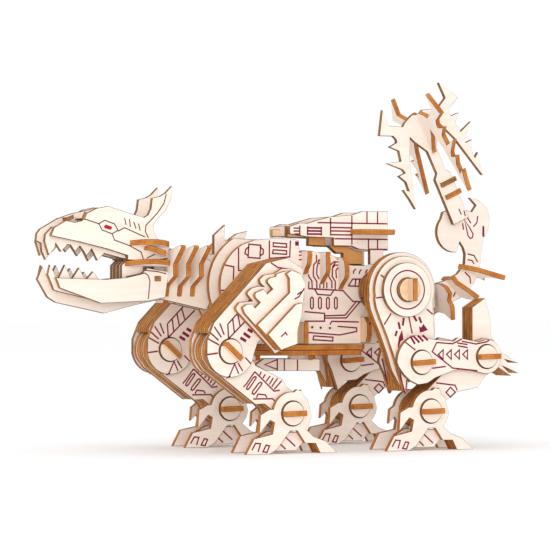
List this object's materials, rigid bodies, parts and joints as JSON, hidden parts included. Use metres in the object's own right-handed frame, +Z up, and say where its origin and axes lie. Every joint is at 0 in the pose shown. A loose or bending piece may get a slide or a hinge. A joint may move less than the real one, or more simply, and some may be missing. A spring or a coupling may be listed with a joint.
{
  "type": "wooden 3d jigsaw model",
  "caption": "Robot beast of laser-cut plywood sheets that slot together, with open jaws, a raised tail and pinned legs that turn at shoulder, elbow, wrist, hip, knee, hock and ankle.",
  "frame": {"origin": "on the ground under the middle of the model, halfway along its whole length and on its middle plane", "axes": "+X towards the tail, so the nose points along -X; -Y is the animal's left side; +Z up"},
  "size_m": [0.2984, 0.1324, 0.2171],
  "materials": {
    "plywood": "bare sanded plywood",
    "burnt_edge": "plywood with browned laser-cut edges"
  },
  "bodies": {
    "torso": {"skull_left": "plywood", "jaw_left": "plywood", "skull_right": "plywood", "jaw_right": "plywood", "skull_core": "plywood", "head_crown": "burnt_edge", "head_bridge": "burnt_edge", "jaw_cross": "burnt_edge", "neck_collar_1": "plywood", "neck_collar_2": "plywood", "neck_collar_3": "plywood", "spine_plate": "burnt_edge", "torso_left": "plywood", "torso_right": "plywood", "belly_plate": "burnt_edge", "rib_front": "plywood", "cannon_left": "plywood", "cannon_right": "plywood", "cannon_wing": "burnt_edge", "shoulder_axle": "burnt_edge", "hip_axle": "burnt_edge", "tail_stem": "plywood", "tail_collar": "burnt_edge", "tail_fan": "burnt_edge", "tail_arrow_side": "plywood", "tail_arrow_cross": "plywood"},
    "front_left_arm": {"front_left_upper_arm_outer": "plywood", "front_left_upper_arm_inner": "plywood", "front_left_shoulder_armor": "plywood", "front_left_elbow_pin": "burnt_edge"},
    "front_left_forearm_body": {"front_left_forearm": "plywood", "front_left_wrist_pin": "burnt_edge"},
    "front_left_foot": {"front_left_foot_outer": "plywood", "front_left_foot_inner": "plywood"},
    "hind_left_thigh_body": {"hind_left_thigh": "plywood", "hind_left_knee_pin": "burnt_edge"},
    "hind_left_shank": {"hind_left_shank_outer": "plywood", "hind_left_shank_inner": "plywood", "hind_left_hock_pin": "burnt_edge"},
    "hind_left_metatarsus_body": {"hind_left_metatarsus": "plywood", "hind_left_ankle_pin": "burnt_edge"},
    "hind_left_foot": {"hind_left_foot_outer": "plywood", "hind_left_foot_inner": "plywood"},
    "front_right_arm": {"front_right_upper_arm_outer": "plywood", "front_right_upper_arm_inner": "plywood", "front_right_shoulder_armor": "plywood", "front_right_elbow_pin": "burnt_edge"},
    "front_right_forearm_body": {"front_right_forearm": "plywood", "front_right_wrist_pin": "burnt_edge"},
    "front_right_foot": {"front_right_foot_outer": "plywood", "front_right_foot_inner": "plywood"},
    "hind_right_thigh_body": {"hind_right_thigh": "plywood", "hind_right_knee_pin": "burnt_edge"},
    "hind_right_shank": {"hind_right_shank_outer": "plywood", "hind_right_shank_inner": "plywood", "hind_right_hock_pin": "burnt_edge"},
    "hind_right_metatarsus_body": {"hind_right_metatarsus": "plywood", "hind_right_ankle_pin": "burnt_edge"},
    "hind_right_foot": {"hind_right_foot_outer": "plywood", "hind_right_foot_inner": "plywood"}
  },
  "joints": [
    {"name": "front_left_shoulder", "type": "hinge", "parent": "torso", "child": "front_left_arm", "pos_m": [-0.0184, -0.0416, 0.0935], "axis": [0, 1, 0], "range_deg": [-4, 12]},
    {"name": "front_left_elbow", "type": "hinge", "parent": "front_left_arm", "child": "front_left_forearm_body", "pos_m": [-0.0524, -0.0416, 0.0575], "axis": [0, 1, 0], "range_deg": [-6, 8]},
    {"name": "front_left_wrist", "type": "hinge", "parent": "front_left_forearm_body", "child": "front_left_foot", "pos_m": [-0.014, -0.0416, 0.0225], "axis": [0, 1, 0], "range_deg": [-10, 12]},
    {"name": "hind_left_hip", "type": "hinge", "parent": "torso", "child": "hind_left_thigh_body", "pos_m": [0.0582, -0.0437, 0.092], "axis": [0, 1, 0], "range_deg": [-10, 4]},
    {"name": "hind_left_knee", "type": "hinge", "parent": "hind_left_thigh_body", "child": "hind_left_shank", "pos_m": [0.0674, -0.0437, 0.0505], "axis": [0, 1, 0], "range_deg": [-5, 5]},
    {"name": "hind_left_hock", "type": "hinge", "parent": "hind_left_shank", "child": "hind_left_metatarsus_body", "pos_m": [0.1106, -0.0437, 0.0535], "axis": [0, 1, 0], "range_deg": [-5, 5]},
    {"name": "hind_left_ankle", "type": "hinge", "parent": "hind_left_metatarsus_body", "child": "hind_left_foot", "pos_m": [0.0734, -0.0437, 0.0225], "axis": [0, 1, 0], "range_deg": [-7, 10]},
    {"name": "front_right_shoulder", "type": "hinge", "parent": "torso", "child": "front_right_arm", "pos_m": [-0.0184, 0.0416, 0.0935], "axis": [0, 1, 0], "range_deg": [-4, 12]},
    {"name": "front_right_elbow", "type": "hinge", "parent": "front_right_arm", "child": "front_right_forearm_body", "pos_m": [-0.0524, 0.0416, 0.0575], "axis": [0, 1, 0], "range_deg": [-6, 8]},
    {"name": "front_right_wrist", "type": "hinge", "parent": "front_right_forearm_body", "child": "front_right_foot", "pos_m": [-0.014, 0.0416, 0.0225], "axis": [0, 1, 0], "range_deg": [-10, 12]},
    {"name": "hind_right_hip", "type": "hinge", "parent": "torso", "child": "hind_right_thigh_body", "pos_m": [0.0582, 0.0437, 0.092], "axis": [0, 1, 0], "range_deg": [-10, 4]},
    {"name": "hind_right_knee", "type": "hinge", "parent": "hind_right_thigh_body", "child": "hind_right_shank", "pos_m": [0.0674, 0.0437, 0.0505], "axis": [0, 1, 0], "range_deg": [-5, 5]},
    {"name": "hind_right_hock", "type": "hinge", "parent": "hind_right_shank", "child": "hind_right_metatarsus_body", "pos_m": [0.1106, 0.0437, 0.0535], "axis": [0, 1, 0], "range_deg": [-5, 5]},
    {"name": "hind_right_ankle", "type": "hinge", "parent": "hind_right_metatarsus_body", "child": "hind_right_foot", "pos_m": [0.0734, 0.0437, 0.0225], "axis": [0, 1, 0], "range_deg": [-7, 10]}
  ]
}
